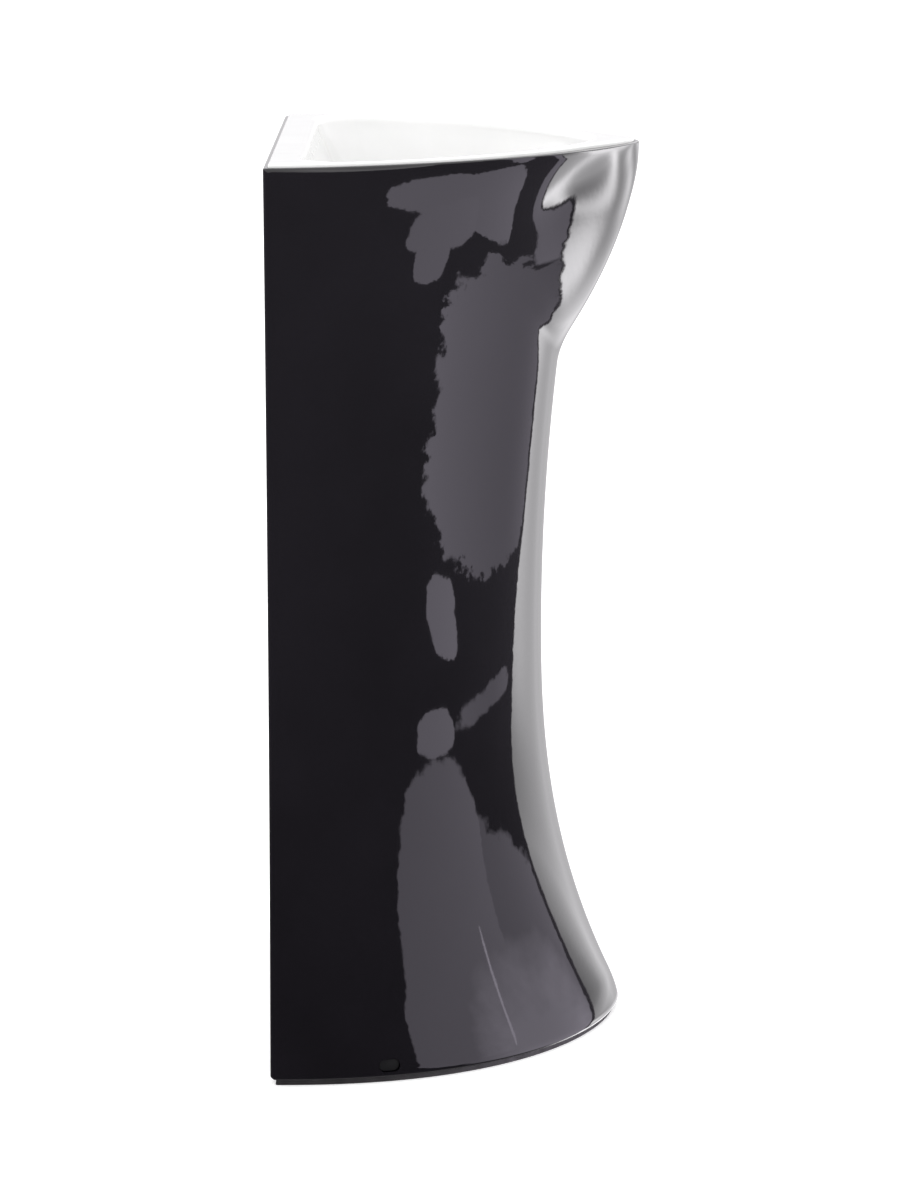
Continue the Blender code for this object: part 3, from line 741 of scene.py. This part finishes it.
def add_trap(drain, outlet):
    collar = WASTE_END - GAP - 2 * MM - GAP
    dip = [
        (PIPE_BORE, TUBE_END),
        (PIPE, TUBE_END),
        (PIPE, collar - 2 * MM),
        (20 * MM, collar - 2 * MM),
        (20 * MM, collar),
        (PIPE_BORE, collar),
    ]
    chrome_piece("inlet_tube", "dip_tube", dip, drain)
    web = collar - 2 * MM - GAP
    inlet = collar_nut(THREAD + GAP, PIPE + GAP, web - 3 * MM, web, WASTE_END + 15 * MM)
    chrome_piece("inlet_nut", "trap_inlet_nut", inlet, drain, grips=12, grip_from=THREAD + 4.5 * MM)

    inner, outer = BOTTLE - 2.5 * MM, BOTTLE
    neck = BOTTLE_TOP + 15 * MM
    bottle = [
        (inner, BOTTLE_LOW),
        (outer, BOTTLE_LOW),
        (outer, BOTTLE_TOP - 6 * MM),
        (22 * MM, BOTTLE_TOP),
        (22 * MM, neck),
        (PIPE + GAP, neck),
        (PIPE + GAP, BOTTLE_TOP - 3 * MM),
        (inner, BOTTLE_TOP - 8 * MM),
    ]
    body = chrome_piece("trap_bottle", "trap_body", bottle, drain)
    stub = [(0, 22 * MM), (20 * MM, 22 * MM), (20 * MM, STUB_END), (0, STUB_END)]
    combine(body, turned(stub, outlet), "outlet_stub", "UNION")
    bore = [(0, 20 * MM), (PIPE + GAP, 20 * MM), (PIPE + GAP, STUB_END + 1 * MM), (0, STUB_END + 1 * MM)]
    combine(body, turned(bore, outlet), "outlet_bore")

    web = neck + 3 * MM + GAP
    collar = collar_nut(22 * MM + GAP, PIPE + GAP, web + 3 * MM, web, BOTTLE_TOP + 3 * MM)
    chrome_piece("neck_nut", "trap_neck_nut", collar, drain, grips=12, grip_from=26 * MM)

    seat = BOTTLE_LOW - 3.6 * MM
    grip = outer + 3.5 * MM
    cup = [
        (0, CUP_LOW),
        (24 * MM, CUP_LOW),
        (29 * MM, CUP_LOW + 2 * MM),
        (outer, CUP_LOW + 7 * MM),
        (outer, seat - 9 * MM),
        (grip, seat - 6 * MM),
        (grip, BOTTLE_LOW + 12 * MM),
        (outer + GAP, BOTTLE_LOW + 12 * MM),
        (outer + GAP, seat),
        (inner, seat),
        (inner, CUP_LOW + 8 * MM),
        (24 * MM, CUP_LOW + 3 * MM),
        (0, CUP_LOW + 3 * MM),
    ]
    chrome_piece("cleaning_cup", "trap_cup", cup, drain, grips=16, grip_from=outer + 2 * MM)


def add_outlet(outlet):
    arm = [
        (PIPE_BORE, STUB_END - 14 * MM),
        (PIPE, STUB_END - 14 * MM),
        (PIPE, DRAIN_DEPTH),
        (PIPE_BORE, DRAIN_DEPTH),
    ]
    chrome_piece("wall_pipe", "waste_arm", arm, outlet)
    web = STUB_END + 3 * MM + GAP
    collar = collar_nut(20 * MM + GAP, PIPE + GAP, web + 3 * MM, web, STUB_END - 12 * MM)
    chrome_piece("pipe_nut", "outlet_nut", collar, outlet, grips=12, grip_from=24 * MM)
    cover = [
        (PIPE + GAP, DRAIN_DEPTH - 12 * MM),
        (PIPE + 2 * MM, DRAIN_DEPTH - 12 * MM),
        (PIPE + 2.6 * MM, DRAIN_DEPTH - 8 * MM),
        (PIPE + 4.4 * MM, DRAIN_DEPTH - 5.6 * MM),
        (26 * MM, DRAIN_DEPTH - 3.6 * MM),
        (36 * MM, DRAIN_DEPTH - 1.5 * MM),
        (36 * MM, DRAIN_DEPTH),
        (PIPE + GAP, DRAIN_DEPTH),
    ]
    chrome_piece("wall_rosette", "wall_cover_plate", cover, outlet)


drain_axis = Matrix.Translation((0, DRAIN_Y, 0))
outlet_axis = Matrix.Translation((0, DRAIN_Y, OUTLET_Z)) @ Matrix.Rotation(-math.pi / 2, 4, "X")

add_casing()
add_floor_seal()
add_basin()
add_waste(drain_axis)
add_trap(drain_axis, outlet_axis)
add_outlet(outlet_axis)


# ---------------------------------------------------------------- stage, light and camera

CAMERA_SPOT = (-4.026, 0.0065, 1.226)
CAMERA_PITCH = 11.55
CAMERA_LENS = 127.53
CAMERA_SENSOR = 36

FLOOR_REACH = 30.0
FLOOR_GLOW = 0.4
SCREEN_SIDE, SCREEN_FRONT, SCREEN_BACK = 0.34, 0.22, 0.5
SCREEN_LOW, SCREEN_TOP = -0.3, 0.83
SCREEN_DARK = 0.2
SCREEN_TURN = 150
SCREEN_STEPS = 96

# How strongly the cards' edges and the screen's own end are torn
CARD_RAG, END_RAG = 3.0, 4.0

# The dark band before the screen's end: how bright the cards may get, between which degrees from the
# end, and how many times narrower it is above these heights
BAND_LIGHT = 4.0
BAND_FROM, BAND_TO = 2.5, 4.5
BAND_NARROWER = 3.0
BAND_LOW, BAND_HIGH = 0.58, 0.66

# Grey cards on the dark screen. Each is: bearing of its middle, in degrees from the camera's side
# towards the sink's front; its height; half its spread in degrees; half its height; its lean in degrees
# per metre; its slope in metres per degree; how ragged and how soft its edge is; and its brightness at
# the left and towards the right.
CARDS = [
    (33, 0.766, 25, 0.022, 0, -0.0009, 0.4, 0.05, 2.0, 1.8),
    (28, 0.742, 12, 0.020, 100, 0, 0.3, 0.05, 1.9, 1.9),
    (25, 0.720, 6, 0.026, 60, 0, 0.3, 0.05, 1.9, 1.9),
    (74, 0.735, 5, 0.040, 0, 0, 0.4, 0.3, 1.4, 1.4),
    (72, 0.570, 42, 0.150, 0, 0, 0.4, 0.05, 2.2, 0.75),
    (38, 0.388, 7, 0.038, -60, 0, 0.5, 0.1, 2.1, 2.1),
    (33, 0.289, 9, 0.019, 0, 0, 0.5, 0.1, 1.9, 1.9),
    (66, 0.305, 21, 0.012, 0, 0.0005, 0.9, 0.5, 1.5, 0.9),
    (28, 0.110, 21, 0.155, 40, 0, 0.2, 0.05, 1.4, 1.5),
    (62, 0.070, 42, 0.135, 0, -0.0011, 0.3, 0.2, 1.3, 1.0),
    (54, 0.010, 36, 0.135, 0, 0, 0.1, 0.95, 3.2, 2.0),
    (39, 0.075, 0.45, 0.055, 12, 0, 0.8, 0.1, 6.0, 6.0),
]
CARD_TINT = (1.03, 0.96, 1.12)

# Where the dark screen ends and the bright room begins: (height, bearing)
SCREEN_END = [
    (0.03, 84),
    (0.10, 88),
    (0.16, 86),
    (0.24, 85.5),
    (0.30, 91),
    (0.40, 98),
    (0.45, 103),
    (0.52, 105),
    (0.60, 102),
    (0.63, 96),
    (0.66, 87),
    (0.70, 79.5),
    (0.73, 76),
    (0.77, 74),
]


def add_floor():
    corners = [(-1, -1), (1, -1), (1, 1), (-1, 1)]
    mesh = bpy.data.meshes.new("floor")
    mesh.from_pydata([(x * FLOOR_REACH, y * FLOOR_REACH, -0.1 * MM) for x, y in corners], [], [(0, 1, 2, 3)])
    floor = bpy.data.objects.new("floor", mesh)
    bpy.context.scene.collection.objects.link(floor)
    n = Nodes("floor")
    colour = n.colours(n.noise(0.8, 2), [(0.3, (0.92, 0.92, 0.92)), (0.7, (0.94, 0.94, 0.94))])
    roughness = n.spread(n.noise(3, 2), 0.7, 0.8)
    n.shader.inputs["Emission Color"].default_value = (1, 1, 1, 1)
    n.shader.inputs["Emission Strength"].default_value = FLOOR_GLOW
    mesh.materials.append(n.finish(colour, roughness, n.bump(n.noise(60, 2), 0.02 * MM, 0.2)))
    floor.visible_glossy = False


class Formula(Nodes):
    """Node arithmetic for the stage: each call adds one Math node."""

    def math(self, operation, *values):
        node = self.add("ShaderNodeMath", operation=operation)
        for socket, value in zip(node.inputs, values):
            if isinstance(value, (int, float)):
                socket.default_value = value
            else:
                self.link(value, socket)
        return node.outputs[0]


def screen_finish():
    """Dark with ragged grey cards. Past the end of the screen it is clear."""
    n = Formula("screen")
    place = n.add("ShaderNodeSeparateXYZ")
    n.link(n.place, place.inputs[0])
    x, y, height = place.outputs
    west, south = n.math("MULTIPLY", x, -1.0), n.math("MULTIPLY", y, -1.0)
    bearing = n.math("DEGREES", n.math("ARCTAN2", south, west))
    rag = n.math("SUBTRACT", n.noise(34, 5, 0.62, (1, 1, 2)), 0.5)
    rag_wide = n.math("SUBTRACT", n.noise(11, 3, 0.5, (1, 1, 2)), 0.5)
    rags = n.math("MULTIPLY", n.math("ADD", rag, rag_wide), CARD_RAG)
    light = n.spread(height, 0.55 * SCREEN_DARK, 1.3 * SCREEN_DARK, 0.05, 0.8)
    for middle, mid_height, spread, rise, lean, slope, ragged, soft, left, right in CARDS:
        aside = n.math("SUBTRACT", bearing, middle)
        above = n.math("SUBTRACT", height, mid_height)
        sheared = n.math("SUBTRACT", aside, n.math("MULTIPLY", above, lean))
        above = n.math("SUBTRACT", above, n.math("MULTIPLY", aside, slope))
        across = n.math("POWER", n.math("ABSOLUTE", n.math("DIVIDE", sheared, spread)), 3.0)
        along = n.math("POWER", n.math("ABSOLUTE", n.math("DIVIDE", above, rise)), 3.0)
        reach = n.math("ADD", n.math("ADD", across, along), n.math("MULTIPLY", rags, ragged))
        inside = n.spread(reach, 1.0, 0.0, 1 - soft, 1.04)
        fading = n.math("POWER", n.spread(sheared, 1.0, 0.0, -spread, spread * 0.4), 1.6)
        level = n.math("ADD", n.math("MULTIPLY", fading, left - right), right)
        light = n.math("MAXIMUM", n.math("MULTIPLY", inside, level), light)

    curve = n.add("ShaderNodeFloatCurve")
    points = curve.mapping.curves[0].points
    while len(points) < len(SCREEN_END):
        points.new(0.5, 0.5)
    for point, (at, end) in zip(points, SCREEN_END):
        point.location = (at, end / 180)
    curve.mapping.update()
    n.link(height, curve.inputs["Value"])
    limit = n.math("ADD", n.math("MULTIPLY", curve.outputs[0], 180.0), n.math("MULTIPLY", rag, END_RAG))
    short = n.math("SUBTRACT", limit, bearing)
    narrowed = n.math("MULTIPLY", short, n.spread(height, 1.0, BAND_NARROWER, BAND_LOW, BAND_HIGH))
    band = n.spread(narrowed, SCREEN_DARK, BAND_LIGHT, BAND_FROM, BAND_TO)
    light = n.math("MINIMUM", light, band)
    beyond = n.spread(short, 1.0, 0.0, -0.4, 0.4)
    emission = n.add("ShaderNodeEmission")
    emission.inputs["Color"].default_value = (*CARD_TINT, 1)
    n.link(light, emission.inputs["Strength"])
    either = n.add("ShaderNodeMixShader")
    n.link(beyond, either.inputs[0])
    n.link(emission.outputs[0], either.inputs[1])
    n.link(n.add("ShaderNodeBsdfTransparent").outputs[0], either.inputs[2])
    n.tree.nodes.remove(n.shader)
    n.link(either.outputs[0], n.tree.nodes["Material Output"].inputs["Surface"])
    return n.material


def add_screen():
    """An upright curved screen close round the sink, open on the side away from the camera.

    Only the gloss sees it.
    """
    verts, faces = [], []
    for i in range(SCREEN_STEPS + 1):
        angle = math.radians(mix(-SCREEN_TURN, SCREEN_TURN, i / SCREEN_STEPS))
        reach = SCREEN_FRONT if angle > 0 else SCREEN_BACK
        x, y = -SCREEN_SIDE * math.cos(angle), -reach * math.sin(angle)
        verts += [(x, y, SCREEN_LOW), (x, y, SCREEN_TOP)]
    for i in range(SCREEN_STEPS):
        faces.append((2 * i, 2 * i + 1, 2 * i + 3, 2 * i + 2))
    mesh = bpy.data.meshes.new("screen")
    mesh.from_pydata(verts, [], faces)
    mesh.materials.append(screen_finish())
    screen = bpy.data.objects.new("screen", mesh)
    bpy.context.scene.collection.objects.link(screen)
    for ray in ("camera", "diffuse", "transmission", "shadow", "volume_scatter"):
        setattr(screen, "visible_" + ray, False)


def add_camera():
    camera = bpy.data.cameras.new("camera")
    camera.lens = CAMERA_LENS
    camera.sensor_width = CAMERA_SENSOR
    holder = bpy.data.objects.new("camera", camera)
    holder.location = CAMERA_SPOT
    holder.rotation_euler = (math.radians(90 - CAMERA_PITCH), 0, math.radians(-90))
    bpy.context.scene.collection.objects.link(holder)
    bpy.context.scene.camera = holder


# How bright the room looks to the gloss, by the sine of the elevation
ROOM = [
    (-0.68, 0.4),
    (-0.60, 3.0),
    (-0.45, 3.8),
    (-0.36, 2.5),
    (-0.29, 2.0),
    (-0.22, 1.4),
    (-0.17, 1.55),
    (-0.12, 1.9),
    (-0.09, 2.2),
    (-0.03, 1.75),
    (0.0, 1.3),
    (0.07, 0.95),
    (0.14, 0.95),
    (0.19, 2.0),
]
ROOM_FULL = 5.0
ROOM_TINT = (1, 0.985, 1.01, 1)

# Added to the sine, so that every stop lies between 0 and 1 on the ramp
ROOM_SHIFT = 0.8

# The room darkens on the side away from the camera, from this far east, this fast, and less above level
FAR_FROM, FAR_FALL, FAR_RAISED = 0.86, 4.5, 5.0

EVEN_LIGHT = 1.3

# Soft windows in the room. Each is: east and up of its middle as a unit direction, half its width and
# half its height, how much it slopes, and its brightness.
WINDOWS = [(0.28, -0.315, 0.32, 0.045, -0.58, 6.5), (0.56, -0.25, 0.16, 0.06, 0.0, 3.4)]


def add_world():
    """Even white light on everything. The gloss sees a room with two soft windows below eye level."""
    world = bpy.data.worlds.new("studio")
    bpy.context.scene.world = world
    world.use_nodes = True
    tree = world.node_tree

    def add(kind, **values):
        node = tree.nodes.new(kind)
        for key, value in values.items():
            setattr(node, key, value)
        return node

    def math_node(operation, *values):
        node = add("ShaderNodeMath", operation=operation)
        for socket, value in zip(node.inputs, values):
            if isinstance(value, float):
                socket.default_value = value
            else:
                tree.links.new(value, socket)
        return node.outputs[0]

    even = tree.nodes["Background"]
    even.inputs["Color"].default_value = (1, 1, 1, 1)
    even.inputs["Strength"].default_value = EVEN_LIGHT
    axes = add("ShaderNodeSeparateXYZ")
    tree.links.new(add("ShaderNodeTexCoord").outputs["Generated"], axes.inputs[0])
    ramp = add("ShaderNodeValToRGB")
    stops = ramp.color_ramp.elements
    while len(stops) < len(ROOM):
        stops.new(0.5)
    for stop, (sine, level) in zip(stops, ROOM):
        stop.position = sine + ROOM_SHIFT
        stop.color = (*[level / ROOM_FULL] * 3, 1)
    tree.links.new(math_node("ADD", axes.outputs["Z"], ROOM_SHIFT), ramp.inputs["Fac"])
    room_level = math_node("MULTIPLY", ramp.outputs["Color"], ROOM_FULL)
    for east, up, width, height, slope, level in WINDOWS:
        aside = math_node("SUBTRACT", axes.outputs["X"], east)
        above = math_node("SUBTRACT", axes.outputs["Z"], up)
        above = math_node("SUBTRACT", above, math_node("MULTIPLY", aside, slope))
        aside, above = math_node("DIVIDE", aside, width), math_node("DIVIDE", above, height)
        away = math_node("ADD", math_node("MULTIPLY", aside, aside), math_node("MULTIPLY", above, above))
        glow = math_node("MULTIPLY", math_node("EXPONENT", math_node("MULTIPLY", away, -1.0)), level)
        room_level = math_node("ADD", room_level, glow)
    raised = math_node("MULTIPLY", math_node("MAXIMUM", axes.outputs["Z"], 0.0), FAR_RAISED)
    far = math_node("SUBTRACT", math_node("SUBTRACT", axes.outputs["X"], FAR_FROM), raised)
    dimming = math_node("MULTIPLY", math_node("MAXIMUM", far, 0.0), FAR_FALL)
    room_level = math_node("MULTIPLY", room_level, math_node("SUBTRACT", 1.0, dimming))
    room = add("ShaderNodeBackground")
    room.inputs["Color"].default_value = ROOM_TINT
    tree.links.new(room_level, room.inputs["Strength"])
    either = add("ShaderNodeMixShader")
    tree.links.new(add("ShaderNodeLightPath").outputs["Is Glossy Ray"], either.inputs[0])
    tree.links.new(even.outputs[0], either.inputs[1])
    tree.links.new(room.outputs[0], either.inputs[2])
    tree.links.new(either.outputs[0], tree.nodes["World Output"].inputs["Surface"])


add_floor()
add_screen()
add_camera()
add_world()
bpy.context.scene.view_settings.view_transform = "Standard"
